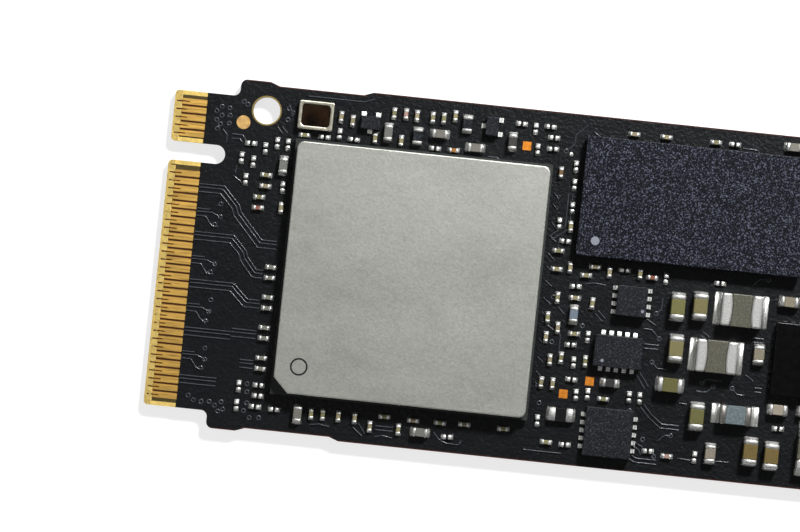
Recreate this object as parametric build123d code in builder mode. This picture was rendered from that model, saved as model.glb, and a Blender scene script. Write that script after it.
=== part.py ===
"""M.2 2280 solid-state drive: a bare single-sided board with every chip in place.

Millimetres. The board lies in XY with its chips up (+Z), its card edge at -X and its screw
notch at +X. The origin is the middle of the board's underside.
"""

import os

from build123d import *

# Board outline
board_length = 80.0
board_width = 22.0
board_thickness = 0.8
board_corner_radius = 0.4
copper_thickness = 0.04

# Shallow recess in each long side, where the board was cut from its panel
recess_from_edge = 5.9
recess_length = 6.5
recess_run = 0.6
recess_depth = 0.22

# Card edge: contacts, bevel and key notch
contact_pitch = 0.5
contact_width = 0.35
contact_length = 1.55
contact_positions = 75
key_first_position = 59
key_last_position = 66
key_width = 1.2
key_depth = 3.5
tongue_depth = 4.05
shoulder_step = 1.075
contact_side_margin = 0.45
tongue_corner_radius = 0.25
bevel_length = 0.45
bevel_depth = 0.2
bevel_to_contact = 0.05

# Screw notch, tooling hole and bare copper marks
screw_notch_radius = 1.75
ground_pad_radius = 2.75
tooling_hole_radius = 0.85
tooling_hole_from_edge = 5.82
tooling_hole_from_side = 1.82
fiducial_radius = 0.43
fiducial_from_edge = 4.44
fiducial_from_side = 2.69
test_pad_size = 0.54

# Controller: balls, substrate, die, thermal paste and lid
controller_from_edge = 8.0
lid_from_top_side = 3.5
lid_from_bottom_side = 2.7
lid_length = 15.9
lid_plate = 0.3
lid_wall = 1.2
lid_corner_radius = 0.45
lid_cut_corner = 0.95
lid_edge_radius = 0.08
substrate_margin = 0.15
substrate_thickness = 0.35
die_length = 8.0
die_width = 7.0
die_thickness = 0.3
paste_thickness = 0.05
controller_ball_pitch = 0.8
controller_ball_diameter = 0.4
controller_ball_height = 0.22
controller_ball_margin = 0.6
controller_ball_rings = 3

# Memory package
memory_length = 14.1
memory_height = 0.75
memory_from_controller = 2.1
memory_from_side = 1.3
power_section_room = 13.2
memory_ball_pitch = 0.8
memory_ball_diameter = 0.35
memory_ball_height = 0.2
memory_ball_margin = 0.65
memory_ball_rings = 2

# Flash packages, one behind the other
flash_count = 2
flash_length = 12.0
flash_from_side = 2.0
flash_height = 0.9
flash_from_power_manager = 2.4
flash_spacing = 2.5
flash_ball_pitch = 1.0
flash_ball_diameter = 0.45
flash_ball_height = 0.25
flash_ball_margin = 1.0
flash_ball_rings = 2

# Crystal: base, seal ring and lid
crystal_length = 2.2
crystal_width = 1.8
crystal_base_height = 0.35
crystal_ring_width = 0.22
crystal_ring_height = 0.15
crystal_lid_height = 0.1
crystal_corner_radius = 0.12

# Power manager
power_manager_size = 4.6
power_manager_height = 0.8
power_manager_lead_length = 0.12
power_manager_leads_per_side = 8

# Small power chips, leads on two sides
regulator_length = 1.9
regulator_width = 1.9
regulator_leads_per_side = 4
switch_length = 2.0
switch_width = 3.0
switch_leads_per_side = 5
guard_length = 3.0
guard_width = 3.05
guard_leads_per_side = 5
power_chip_height = 0.75
lead_pitch = 0.5
lead_width = 0.26
lead_length = 0.28
lead_height = 0.2

# Transistors: two leads on one side, one on the other
transistor_length = 1.2
transistor_width = 0.8
transistor_height = 0.5
transistor_lead_spacing = 0.9
transistor_lead_width = 0.3
transistor_lead_length = 0.28
transistor_lead_height = 0.15

# Chips with a terminal at each end: length, width, height, terminal band and solder run
terminal_step = 0.02
solder_rise = 0.65
solder_lip = 0.02
solder_side = 0.03
tiny_length = 0.6
tiny_width = 0.3
tiny_band = 0.17
tiny_run = 0.09
tiny_capacitor_height = 0.3
tiny_resistor_height = 0.24
small_length = 1.0
small_width = 0.55
small_height = 0.5
small_band = 0.25
small_run = 0.14
medium_length = 1.15
medium_width = 0.68
medium_height = 0.6
medium_band = 0.28
medium_run = 0.1
large_length = 1.6
large_width = 0.9
large_height = 0.85
large_band = 0.36
large_run = 0.12
wide_resistor_length = 1.6
wide_resistor_width = 0.85
wide_resistor_height = 0.45
wide_resistor_band = 0.42
wide_resistor_run = 0.12
diode_length = 1.0
diode_width = 0.62
diode_height = 0.45
diode_band = 0.22
diode_run = 0.1
inductor_length = 2.57
inductor_width = 2.05
inductor_height = 1.0
inductor_band = 0.6
inductor_bulge = 0.1
inductor_run = 0.43
choke_length = 2.0
choke_width = 1.2
choke_height = 0.85
choke_band = 0.42
choke_run = 0.5

# Rows of coupling capacitors between the card edge and the controller
lane_count = 4
lane_pitch = 1.91
lane_pair_pitch = 0.67

BASE = (Align.CENTER, Align.CENTER, Align.MIN)
FROM_LEFT = (Align.MIN, Align.CENTER)

# Heights and edges that follow from the sizes above
board_top = board_thickness
card_edge_x = -board_length / 2
far_edge_x = board_length / 2
side_y = board_width / 2
shoulder_x = card_edge_x + tongue_depth
recess_x = card_edge_x + recess_from_edge
contact_start_x = card_edge_x + bevel_length + bevel_to_contact
mask_start_x = contact_start_x + contact_length
position_pitch = contact_pitch / 2
tongue_width = board_width - 2 * shoulder_step

lid_left = card_edge_x + controller_from_edge
lid_right = lid_left + lid_length
lid_top = side_y - lid_from_top_side
lid_bottom = lid_from_bottom_side - side_y
lid_width = lid_top - lid_bottom
controller_x = (lid_left + lid_right) / 2
controller_y = (lid_top + lid_bottom) / 2
substrate_length = lid_length + 2 * substrate_margin
substrate_width = lid_width + 2 * substrate_margin
substrate_z = board_top + controller_ball_height
die_z = substrate_z + substrate_thickness
cavity_height = die_thickness + paste_thickness

memory_left = lid_right + memory_from_controller
memory_top = side_y - memory_from_side
memory_bottom = power_section_room - side_y
memory_width = memory_top - memory_bottom
memory_x = memory_left + memory_length / 2
memory_y = (memory_top + memory_bottom) / 2
flash_width = board_width - 2 * flash_from_side

# Zones: corners that the small chips are measured from
host_zone = (lid_left, controller_y)
top_zone = (lid_left, lid_top)
bottom_zone = (lid_left, lid_bottom)
power_zone = (lid_right, memory_bottom)
memory_zone = (memory_left, memory_top)


def flat(zone, *points):
    """Places on the board, measured from a zone's corner, for chips that lie along X."""
    return [Location((zone[0] + x, zone[1] + y, board_top)) for x, y in points]


def upright(zone, *points):
    """The same for chips that lie along Y."""
    return [Location((zone[0] + x, zone[1] + y, board_top), (0, 0, 90)) for x, y in points]


# Places of the larger chips
crystal_place = flat(top_zone, (0.93, 1.68))
power_manager_place = flat(power_zone, (17.4, -5.2))
regulator_place = flat(power_zone, (5.92, -2.55))
switch_place = upright(power_zone, (5.38, -5.8))
guard_place = flat(power_zone, (5.28, -10.9))
transistor_places = flat(top_zone, (4.38, 1.58))
transistor_places += [place * Rotation(0, 0, -90) for place in flat(top_zone, (12.0, 2.15))]
diode_places = upright(top_zone, (7.4, 1.05), (10.45, 2.15))
inductor_places = flat(power_zone, (12.8, -2.43), (11.53, -5.45))
inductor_places += upright(power_zone, (18.2, -10.65))
choke_places = flat(power_zone, (13.1, -8.99))
wide_resistor_places = flat(power_zone, (2.22, -10.07))
test_pad_places = flat(top_zone, (14.29, 1.17)) + flat(power_zone, (3.82, -7.81), (2.26, -8.77))

power_manager_x = power_manager_place[0].position.X
flash_left = power_manager_x + power_manager_size / 2 + flash_from_power_manager
flash_step = flash_length + flash_spacing
flash_x = [flash_left + flash_length / 2 + index * flash_step for index in range(flash_count)]
between_flash = (flash_left + flash_length + flash_spacing / 2, 0)

# Places of the capacitors, largest first
large_places = upright(power_zone, (8.82, -2.6), (10.23, -2.43), (8.97, -5.22), (10.68, -9.3))
large_places += upright(power_zone, (14.25, -11.15), (15.6, -11.3))
large_places += flat(power_zone, (8.82, -7.51))
medium_places = upright(power_zone, (14.2, -5.05), (11.8, -11.55))
medium_places += flat(power_zone, (15.75, -1.58), (15.72, -8.37), (17.55, -8.3))
small_places = upright(host_zone, (-0.78, 6.25))
small_places += upright(top_zone, (5.56, 1.08), (13.35, 1.3))
small_places += flat(top_zone, (8.77, 1.33), (11.07, 0.7))
small_places += upright(bottom_zone, (1.69, -1.25))
small_places += flat(bottom_zone, (9.45, -1.6))
small_places += upright(power_zone, (2.38, -3.75))
small_places += flat(power_zone, (5.07, -7.8))
small_places += flat(memory_zone, (12.95, 0.6))
small_places += upright(between_flash, (0, -6.0), (0, -2.0), (0, 2.0), (0, 6.0))

tiny_capacitor_places = flat(host_zone, (-1.8, 5.56), (-1.8, 4.86), (-2.1, 4.12), (-2.1, 3.47))
tiny_capacitor_places += upright(host_zone, (-0.66, 3.6))
for lane in range(lane_count):
    for side in (0, lane_pair_pitch):
        tiny_capacitor_places += flat(host_zone, (-0.91, -0.17 - lane * lane_pitch - side))
tiny_capacitor_places += flat(top_zone, (0.35, 0.4), (9.73, 0.4))
tiny_capacitor_places += upright(
    top_zone, (2.5, 1.75), (3.25, 1.6), (4.76, 0.66), (6.4, 0.66), (5.8, 2.33), (6.53, 2.35),
    (7.23, 2.33), (8.23, 2.3), (8.93, 2.33), (9.63, 2.55),
)
tiny_capacitor_places += flat(
    bottom_zone, (7.15, -0.85), (8.96, -0.89), (10.65, -0.89), (12.19, -0.82), (14.65, -0.85),
)
tiny_capacitor_places += upright(
    bottom_zone, (2.55, -1.15), (3.29, -1.13), (4.27, -1.15), (5.29, -1.15), (6.29, -1.57),
    (8.09, -1.57),
)
tiny_capacitor_places += flat(
    power_zone, (1.02, 0.13), (1.02, -1.03), (2.9, -1.24), (3.43, -0.63), (2.37, -2.71),
    (2.55, -4.96), (4.78, -8.84), (1.49, -11.89), (7.07, -0.96), (9.1, -12.0),
)
tiny_capacitor_places += upright(
    power_zone, (0.7, 5.0), (1.65, 1.7), (1.88, -0.85), (4.35, -0.9), (6.27, -0.8),
    (1.26, -2.8), (3.48, -2.95), (0.78, -4.1), (1.48, -4.7), (0.79, -5.33), (1.2, -6.73),
    (1.89, -6.55), (3.41, -6.6), (0.81, -8.2), (1.51, -8.22),
)
tiny_capacitor_places += flat(memory_zone, (2.9, 0.39), (4.93, 0.39), (8.05, 0.4))

# Places of the resistors
tiny_resistor_places = flat(
    host_zone, (-2.94, 7.44), (-0.92, -7.6), (-0.92, -8.29), (-0.99, -8.98),
)
tiny_resistor_places += upright(
    host_zone, (-2.02, 7.21), (-1.32, 7.6), (-0.64, 7.6), (-3.44, 6.49), (-2.69, 6.29),
    (-3.06, 5.15), (-0.68, 4.88), (-2.16, -7.81), (-2.16, -8.99),
)
tiny_resistor_places += flat(
    top_zone, (1.58, 0.4), (3.43, 0.43), (8.57, 0.4), (13.82, 2.52), (15.65, 2.5),
    (15.93, 1.85), (15.92, 1.15),
)
tiny_resistor_places += upright(top_zone, (2.52, 0.66), (14.73, 2.27), (14.99, 0.99))
tiny_resistor_places += flat(bottom_zone, (0.2, -1.11), (11.19, -1.73))
tiny_resistor_places += flat(
    power_zone, (1.38, 0.77), (2.33, -1.98), (2.4, -5.66), (2.65, -7.84), (2.68, -11.92),
    (5.3, -0.66), (7.9, -11.8), (11.34, -0.86), (15.89, -9.57),
)
tiny_resistor_places += upright(
    power_zone, (1.6, 5.48), (1.6, 4.34), (1.62, 2.87), (0.92, 1.82), (3.41, -5.08),
    (2.7, -6.75), (3.06, -8.75), (3.79, -8.65), (6.38, -8.57), (7.06, -8.56), (0.81, -10.63),
    (7.93, -0.93), (10.86, -11.9),
)
tiny_resistor_places += flat(memory_zone, (9.26, 0.4))


def contact_y(position):
    """Distance of a numbered contact position from the board's centre line."""
    return (position - (contact_positions + 1) / 2) * position_pitch


def contact_spots(first, z):
    """Places of every second contact from the first one that the tongue has room for."""
    room = tongue_width / 2 - contact_side_margin - contact_width / 2
    spots = []
    for position in range(first, contact_positions + 1, 2):
        y = contact_y(position)
        at_key = key_first_position <= position <= key_last_position
        if abs(y) <= room and not at_key:
            spots.append((contact_start_x + contact_length / 2, y, z))
    return spots


def ball_spots(length, width, margin, pitch, rings):
    """Places of solder balls in the outer rings of a grid that fills a package."""
    columns = int((length - 2 * margin) / pitch) + 1
    rows = int((width - 2 * margin) / pitch) + 1
    spots = []
    for column in range(columns):
        for row in range(rows):
            ring = min(column, row, columns - 1 - column, rows - 1 - row)
            if ring < rings:
                spots.append(((column - (columns - 1) / 2) * pitch, (row - (rows - 1) / 2) * pitch))
    return spots


def save(builder, label):
    """Label a finished piece and write it."""
    builder.part.label = label
    export_step(builder.part, f"parts/{label}.step")


os.makedirs("parts", exist_ok=True)

# Sunk copper shapes, used for the recess and for the copper that fills it
key_y = contact_y((key_first_position + key_last_position) / 2)
fiducial_spot = (card_edge_x + fiducial_from_edge, side_y - fiducial_from_side)
tooling_hole_spot = (card_edge_x + tooling_hole_from_edge, side_y - tooling_hole_from_side)

with BuildSketch() as ground_pad_shape:
    with Locations((far_edge_x, 0)):
        Circle(ground_pad_radius)
        Circle(screw_notch_radius, mode=Mode.SUBTRACT)
        Rectangle(ground_pad_radius, 2 * ground_pad_radius, align=FROM_LEFT, mode=Mode.SUBTRACT)

with BuildSketch() as fiducial_shape:
    with Locations(fiducial_spot):
        Circle(fiducial_radius)

with BuildSketch() as test_pad_shape:
    with Locations(*[(place.position.X, place.position.Y) for place in test_pad_places]):
        Rectangle(test_pad_size, test_pad_size)

with BuildSketch() as bare_tongue_shape:
    with Locations((card_edge_x, 0)):
        Rectangle(mask_start_x - card_edge_x, tongue_width, align=FROM_LEFT)

# Circuit board
with BuildPart() as circuit_board:
    with BuildSketch() as outline:
        with Locations((shoulder_x, 0)):
            Rectangle(board_length - tongue_depth, board_width, align=FROM_LEFT)
        with Locations((card_edge_x, 0)):
            Rectangle(tongue_depth, tongue_width, align=FROM_LEFT)
        with Locations((card_edge_x, key_y)):
            Rectangle(key_depth - key_width / 2, key_width, align=FROM_LEFT, mode=Mode.SUBTRACT)
        fillet(outline.vertices().group_by(Axis.X)[0], radius=tongue_corner_radius)
        shoulder = outline.vertices().filter_by(lambda v: abs(v.X - shoulder_x) < bevel_to_contact)
        fillet(shoulder, radius=board_corner_radius)
        fillet(outline.vertices().group_by(Axis.X)[-1], radius=board_corner_radius)
        with Locations((card_edge_x + key_depth - key_width / 2, key_y)):
            Circle(key_width / 2, mode=Mode.SUBTRACT)
        with Locations((far_edge_x, 0)):
            Circle(screw_notch_radius, mode=Mode.SUBTRACT)
        with Locations(tooling_hole_spot):
            Circle(tooling_hole_radius, mode=Mode.SUBTRACT)
        for side in (-side_y, side_y):
            recess_y = side * (1 - recess_depth / side_y)
            with BuildLine():
                Polyline(
                    (recess_x, side),
                    (recess_x + recess_run, recess_y),
                    (recess_x + recess_length - recess_run, recess_y),
                    (recess_x + recess_length, side),
                    close=True,
                )
            make_face(mode=Mode.SUBTRACT)
    extrude(amount=board_thickness)
    with BuildSketch(Plane.XY.offset(board_top - copper_thickness)):
        add(ground_pad_shape.sketch)
        add(fiducial_shape.sketch)
        add(test_pad_shape.sketch)
        add(bare_tongue_shape.sketch)
    extrude(amount=copper_thickness, mode=Mode.SUBTRACT)
    with BuildSketch():
        add(ground_pad_shape.sketch)
        add(bare_tongue_shape.sketch)
    extrude(amount=copper_thickness, mode=Mode.SUBTRACT)
    with BuildSketch(Plane.XZ):
        for face_z, inward in ((board_top - copper_thickness, -1), (copper_thickness, 1)):
            with BuildLine():
                Polyline(
                    (card_edge_x, face_z),
                    (card_edge_x + bevel_length, face_z),
                    (card_edge_x, face_z + inward * bevel_depth),
                    close=True,
                )
            make_face()
    extrude(amount=tongue_width / 2, both=True, mode=Mode.SUBTRACT)
save(circuit_board, "circuit_board")

# Gold contacts on both faces
with BuildPart() as edge_contacts_top:
    with Locations(*contact_spots(1, board_top - copper_thickness)):
        Box(contact_length, contact_width, copper_thickness, align=BASE)
save(edge_contacts_top, "edge_contacts_top")

with BuildPart() as edge_contacts_bottom:
    with Locations(*contact_spots(2, 0)):
        Box(contact_length, contact_width, copper_thickness, align=BASE)
save(edge_contacts_bottom, "edge_contacts_bottom")

# Bare copper: ground pads round the screw notch, fiducial mark and test pads
with BuildPart() as ground_pad_top:
    with BuildSketch(Plane.XY.offset(board_top - copper_thickness)):
        add(ground_pad_shape.sketch)
    extrude(amount=copper_thickness)
save(ground_pad_top, "ground_pad_top")

with BuildPart() as ground_pad_bottom:
    with BuildSketch():
        add(ground_pad_shape.sketch)
    extrude(amount=copper_thickness)
save(ground_pad_bottom, "ground_pad_bottom")

with BuildPart() as fiducial_mark:
    with BuildSketch(Plane.XY.offset(board_top - copper_thickness)):
        add(fiducial_shape.sketch)
    extrude(amount=copper_thickness)
save(fiducial_mark, "fiducial_mark")

with BuildPart() as test_pads:
    with BuildSketch(Plane.XY.offset(board_top - copper_thickness)):
        add(test_pad_shape.sketch)
    extrude(amount=copper_thickness)
save(test_pads, "test_pads")


def solder_balls(label, x, y, spots, diameter, height):
    """Solder balls, pressed flat by reflow, that carry a package."""
    with BuildPart(Plane((x, y, board_top))) as balls:
        with Locations(*spots):
            Cylinder(diameter / 2, height, align=BASE)
    save(balls, label)


# Controller, from the board up
controller_balls = ball_spots(
    substrate_length, substrate_width, controller_ball_margin, controller_ball_pitch,
    controller_ball_rings,
)
solder_balls(
    "controller_solder_balls", controller_x, controller_y, controller_balls,
    controller_ball_diameter, controller_ball_height,
)

with BuildPart(Plane((controller_x, controller_y, substrate_z))) as controller_substrate:
    Box(substrate_length, substrate_width, substrate_thickness, align=BASE)
save(controller_substrate, "controller_substrate")

with BuildPart(Plane((controller_x, controller_y, die_z))) as controller_die:
    Box(die_length, die_width, die_thickness, align=BASE)
save(controller_die, "controller_die")

paste_plane = Plane((controller_x, controller_y, die_z + die_thickness))
with BuildPart(paste_plane) as controller_thermal_paste:
    Box(die_length, die_width, paste_thickness, align=BASE)
save(controller_thermal_paste, "controller_thermal_paste")

lid_plane = Plane((controller_x, controller_y, die_z))
with BuildPart() as controller_lid:
    with BuildSketch(lid_plane) as lid_outline:
        Rectangle(lid_length, lid_width)
        corners = lid_outline.vertices().sort_by(lambda v: v.X + v.Y)
        fillet(corners[1:], radius=lid_corner_radius)
        cut_corner = lid_outline.vertices().sort_by(lambda v: v.X + v.Y)[0]
        chamfer(cut_corner, length=lid_cut_corner)
    extrude(amount=cavity_height + lid_plate)
    fillet(controller_lid.faces().sort_by(Axis.Z)[-1].edges(), radius=lid_edge_radius)
    with BuildSketch(lid_plane):
        Rectangle(lid_length - 2 * lid_wall, lid_width - 2 * lid_wall)
    extrude(amount=cavity_height, mode=Mode.SUBTRACT)
save(controller_lid, "controller_lid")

# Memory package
memory_balls = ball_spots(
    memory_length, memory_width, memory_ball_margin, memory_ball_pitch, memory_ball_rings,
)
solder_balls(
    "memory_solder_balls", memory_x, memory_y, memory_balls, memory_ball_diameter,
    memory_ball_height,
)
with BuildPart(Plane((memory_x, memory_y, board_top + memory_ball_height))) as memory_package:
    Box(memory_length, memory_width, memory_height, align=BASE)
save(memory_package, "memory_package")

# Flash packages
flash_balls = ball_spots(
    flash_length, flash_width, flash_ball_margin, flash_ball_pitch, flash_ball_rings,
)
for number, x in enumerate(flash_x, start=1):
    solder_balls(
        f"flash_{number}_solder_balls", x, 0, flash_balls, flash_ball_diameter, flash_ball_height,
    )
    with BuildPart(Plane((x, 0, board_top + flash_ball_height))) as flash_package:
        Box(flash_length, flash_width, flash_height, align=BASE)
    save(flash_package, f"flash_{number}_package")

# Crystal: ceramic base, seal ring on its rim and lid inside the ring
with BuildPart() as crystal_base:
    with Locations(*crystal_place):
        Box(crystal_length, crystal_width, crystal_base_height, align=BASE)
    fillet(crystal_base.edges().filter_by(Axis.Z), radius=crystal_corner_radius)
save(crystal_base, "crystal_base")

crystal_spot = crystal_place[0].position
crystal_rim_plane = Plane(crystal_spot + Vector(0, 0, crystal_base_height))
crystal_window = (crystal_length - 2 * crystal_ring_width, crystal_width - 2 * crystal_ring_width)
with BuildPart() as crystal_seal_ring:
    with BuildSketch(crystal_rim_plane):
        RectangleRounded(crystal_length, crystal_width, crystal_corner_radius)
        RectangleRounded(*crystal_window, crystal_ring_width, mode=Mode.SUBTRACT)
    extrude(amount=crystal_ring_height)
save(crystal_seal_ring, "crystal_seal_ring")

with BuildPart() as crystal_lid:
    with BuildSketch(crystal_rim_plane):
        RectangleRounded(*crystal_window, crystal_ring_width)
    extrude(amount=crystal_lid_height)
save(crystal_lid, "crystal_lid")


def power_chip(name, places, length, width, height, leads_per_side, reach, sides=2):
    """A moulded chip with rows of leads along two opposite sides, or along all four."""
    with BuildPart() as body:
        with Locations(*places):
            Box(length, width, height, align=BASE)
    save(body, f"{name}_body")
    with BuildPart() as leads:
        with Locations(*places):
            with PolarLocations(length / 2 + reach / 2, sides):
                with GridLocations(lead_pitch, lead_pitch, 1, leads_per_side):
                    Box(reach, lead_width, lead_height, align=BASE)
    save(leads, f"{name}_leads")


power_chip(
    "power_manager", power_manager_place, power_manager_size, power_manager_size,
    power_manager_height, power_manager_leads_per_side, power_manager_lead_length, sides=4,
)
power_chip(
    "regulator", regulator_place, regulator_length, regulator_width, power_chip_height,
    regulator_leads_per_side, lead_length,
)
power_chip(
    "load_switch", switch_place, switch_length, switch_width, power_chip_height,
    switch_leads_per_side, lead_length,
)
power_chip(
    "surge_guard", guard_place, guard_length, guard_width, power_chip_height,
    guard_leads_per_side, lead_length,
)

# Transistors
with BuildPart() as transistor_bodies:
    with Locations(*transistor_places):
        Box(transistor_length, transistor_width, transistor_height, align=BASE)
save(transistor_bodies, "transistor_bodies")

lead_y = transistor_width / 2 + transistor_lead_length / 2
lead_x = transistor_lead_spacing / 2
with BuildPart() as transistor_leads:
    with Locations(*transistor_places):
        with Locations((-lead_x, lead_y), (lead_x, lead_y), (0, -lead_y)):
            Box(transistor_lead_width, transistor_lead_length, transistor_lead_height, align=BASE)
save(transistor_leads, "transistor_leads")


def chips(bodies_label, terminals_label, places, length, width, height, band):
    """Bodies of two-terminal chips and the terminals that stand a step proud of them."""
    with BuildPart() as bodies:
        with Locations(*places):
            with Locations((0, 0, terminal_step)):
                Box(
                    length - 2 * band, width - 2 * terminal_step, height - 2 * terminal_step,
                    align=BASE,
                )
    save(bodies, bodies_label)
    with BuildPart() as terminals:
        with Locations(*places):
            with GridLocations(length - band, width, 2, 1):
                Box(band, width, height, align=BASE)
    save(terminals, terminals_label)


chips(
    "tiny_capacitor_bodies", "tiny_capacitor_terminals", tiny_capacitor_places,
    tiny_length, tiny_width, tiny_capacitor_height, tiny_band,
)
chips(
    "tiny_resistor_bodies", "tiny_resistor_terminals", tiny_resistor_places,
    tiny_length, tiny_width, tiny_resistor_height, tiny_band,
)
chips(
    "small_capacitor_bodies", "small_capacitor_terminals", small_places,
    small_length, small_width, small_height, small_band,
)
chips(
    "medium_capacitor_bodies", "medium_capacitor_terminals", medium_places,
    medium_length, medium_width, medium_height, medium_band,
)
chips(
    "large_capacitor_bodies", "large_capacitor_terminals", large_places,
    large_length, large_width, large_height, large_band,
)
chips(
    "wide_resistor_body", "wide_resistor_terminals", wide_resistor_places,
    wide_resistor_length, wide_resistor_width, wide_resistor_height, wide_resistor_band,
)
chips(
    "diode_bodies", "diode_terminals", diode_places,
    diode_length, diode_width, diode_height, diode_band,
)
chips(
    "choke_body", "choke_terminals", choke_places,
    choke_length, choke_width, choke_height, choke_band,
)

# Power inductors: each terminal's inner edge bulges towards the middle of the core
band_x = inductor_length / 2 - inductor_band
with BuildSketch() as inductor_terminal_shape:
    for outward in (-1, 1):
        with BuildLine():
            inner_edge = ThreePointArc(
                (outward * band_x, -inductor_width / 2),
                (outward * (band_x - inductor_bulge), 0),
                (outward * band_x, inductor_width / 2),
            )
            Polyline(
                inner_edge @ 1,
                (outward * inductor_length / 2, inductor_width / 2),
                (outward * inductor_length / 2, -inductor_width / 2),
                inner_edge @ 0,
            )
        make_face()

with BuildSketch() as inductor_core_shape:
    Rectangle(inductor_length, inductor_width)
    add(inductor_terminal_shape.sketch, mode=Mode.SUBTRACT)


def inductor_piece(label, shape, lift):
    """One shape extruded at every inductor's place."""
    with BuildPart() as piece:
        for place in inductor_places:
            with BuildSketch(Plane(place).offset(lift)):
                add(shape)
            extrude(amount=inductor_height - 2 * lift)
    save(piece, label)


inductor_piece("inductor_cores", inductor_core_shape.sketch, terminal_step)
inductor_piece("inductor_terminals", inductor_terminal_shape.sketch, 0)

# Solder fillets: a ramp at each end of every two-terminal chip
soldered_chips = (
    (tiny_capacitor_places, tiny_length, tiny_width, tiny_capacitor_height, tiny_run),
    (tiny_resistor_places, tiny_length, tiny_width, tiny_resistor_height, tiny_run),
    (small_places, small_length, small_width, small_height, small_run),
    (medium_places, medium_length, medium_width, medium_height, medium_run),
    (large_places, large_length, large_width, large_height, large_run),
    (
        wide_resistor_places, wide_resistor_length, wide_resistor_width, wide_resistor_height,
        wide_resistor_run,
    ),
    (diode_places, diode_length, diode_width, diode_height, diode_run),
    (choke_places, choke_length, choke_width, choke_height, choke_run),
    (inductor_places, inductor_length, inductor_width, inductor_height, inductor_run),
)
with BuildPart() as solder_fillets:
    for places, length, width, height, run in soldered_chips:
        spread = width + 2 * solder_side
        with Locations(*places):
            with PolarLocations(length / 2, 2):
                Wedge(
                    spread, run, solder_rise * height, 0, 0, spread, solder_lip,
                    rotation=(0, 0, -90), align=(Align.CENTER, Align.MIN, Align.MIN),
                )
save(solder_fillets, "solder_fillets")
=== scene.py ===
"""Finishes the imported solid-state drive: solder mask, traces, chips, solder and studio.

Metres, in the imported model's own frame: the board lies in XY, chips up, card edge at -X.
"""

from math import copysign, cos, pi, radians, sin, tau

import bmesh
import bpy
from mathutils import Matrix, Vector
from mathutils.noise import random as next_random, seed_set


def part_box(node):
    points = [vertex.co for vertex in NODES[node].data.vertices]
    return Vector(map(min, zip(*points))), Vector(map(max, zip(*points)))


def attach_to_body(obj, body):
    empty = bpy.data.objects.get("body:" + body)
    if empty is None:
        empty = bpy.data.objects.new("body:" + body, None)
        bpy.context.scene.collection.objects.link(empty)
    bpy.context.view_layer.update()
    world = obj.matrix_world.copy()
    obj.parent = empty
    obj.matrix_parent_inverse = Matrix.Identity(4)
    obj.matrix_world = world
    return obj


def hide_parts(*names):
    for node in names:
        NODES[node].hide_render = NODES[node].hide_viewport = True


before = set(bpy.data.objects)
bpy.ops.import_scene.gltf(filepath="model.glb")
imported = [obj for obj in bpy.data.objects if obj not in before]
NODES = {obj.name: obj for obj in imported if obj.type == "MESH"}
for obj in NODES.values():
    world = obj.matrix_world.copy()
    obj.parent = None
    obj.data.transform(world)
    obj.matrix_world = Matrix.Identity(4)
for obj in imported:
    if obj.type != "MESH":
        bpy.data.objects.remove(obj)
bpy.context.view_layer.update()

bl_info = {
    "name": "Solid-State Drive Finish",
    "version": (1, 0, 0),
    "blender": (4, 5, 0),
    "location": "3D View > Sidebar > Drive",
    "description": "Dresses a packed M.2 solid-state drive with chips, solder, traces and finishes",
    "category": "Object",
}

MM = 0.001
BOARD_LOW, BOARD_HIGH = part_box("circuit_board")
BOARD_TOP = BOARD_HIGH.z
EDGE_X = BOARD_LOW.x

# Places and sizes on the board, in millimetres along it from the card edge and across it
TONGUE_LENGTH = 2.05
STRIP_LENGTH = 0.49
STUB_INSET = 0.14
RIM_FROM = 9.66
RIM_STRIPE_FROM = 9.46
KEY_ACROSS = 6.125
KEY_ROOM = 0.86
KEY_STRIPE_ROOM = 1.155
CONTACT_PITCH = 0.5
HOLE_SPOT = (5.82, 9.18)
HOLE_RING = 0.94
HOLE_ROOM = 1.1
RECESS_MIDDLE = 9.15
RECESS_HALF = 2.85
RECESS_DEPTH = 0.22
MASK_MARGIN = 0.07
LAYER_PITCH = 0.1
TINNED_DOT = (25.11, 8.43)
TINNED_DOT_SIZE = (0.15, 0.15, 0.1)
# Distances from the middle of the gap between two contacts; the shift keeps them positive
GAP_SHIFT = 20.0
# Band at each gap's sides, painted dark gold as shade along the contacts' edges
GAP_SIDE = (0.0625, 0.0175)
STUB_FROM_GAP = 0.205
SCAR_FROM_GAP = 0.215
# Grain over which a plating stub shows, and the most that a sawn side's normal points up
STUB_PATCH = 0.42
SIDE_SLOPE = 0.5

# Pin-1 marks in millimetres: ring on the lid, dots on the large packages, dots on the power chips
LID_RING_SPOT = (1.5, 1.73)
LID_RING_RADIUS = 0.5
LID_RING_HALF = 0.055
PACKAGE_DOT_SPOT = (1.12, 0.98)
PACKAGE_DOT_RADIUS = 0.27
CHIP_DOT_SPOTS = (("regulator_body", 30.53, -0.92), ("load_switch_body", 28.33, -4.22))
CHIP_DOT_RADIUS = 0.1

# No tint; then for shapes: metres within which corners join, angles of flat and sharp edges
PLAIN = (1, 1, 1, 1)
WELD_DISTANCE = 1e-6
FLAT_ANGLE = radians(1)
SHARP_ANGLE = radians(35)


def linear(code):
    """Linear colour of an sRGB hex code."""
    parts = [int(code[i:i + 2], 16) / 255 for i in (1, 3, 5)]
    return [p / 12.92 if p <= 0.04045 else ((p + 0.055) / 1.055) ** 2.4 for p in parts] + [1.0]


def spot(u, v, z=None):
    """Place in metres from millimetres along the board and across it."""
    return Vector((EDGE_X + u * MM, v * MM, BOARD_TOP if z is None else z))


def result_of(node):
    """The socket that carries a node's result."""
    return next(socket for socket in node.outputs if socket.enabled)


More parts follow.
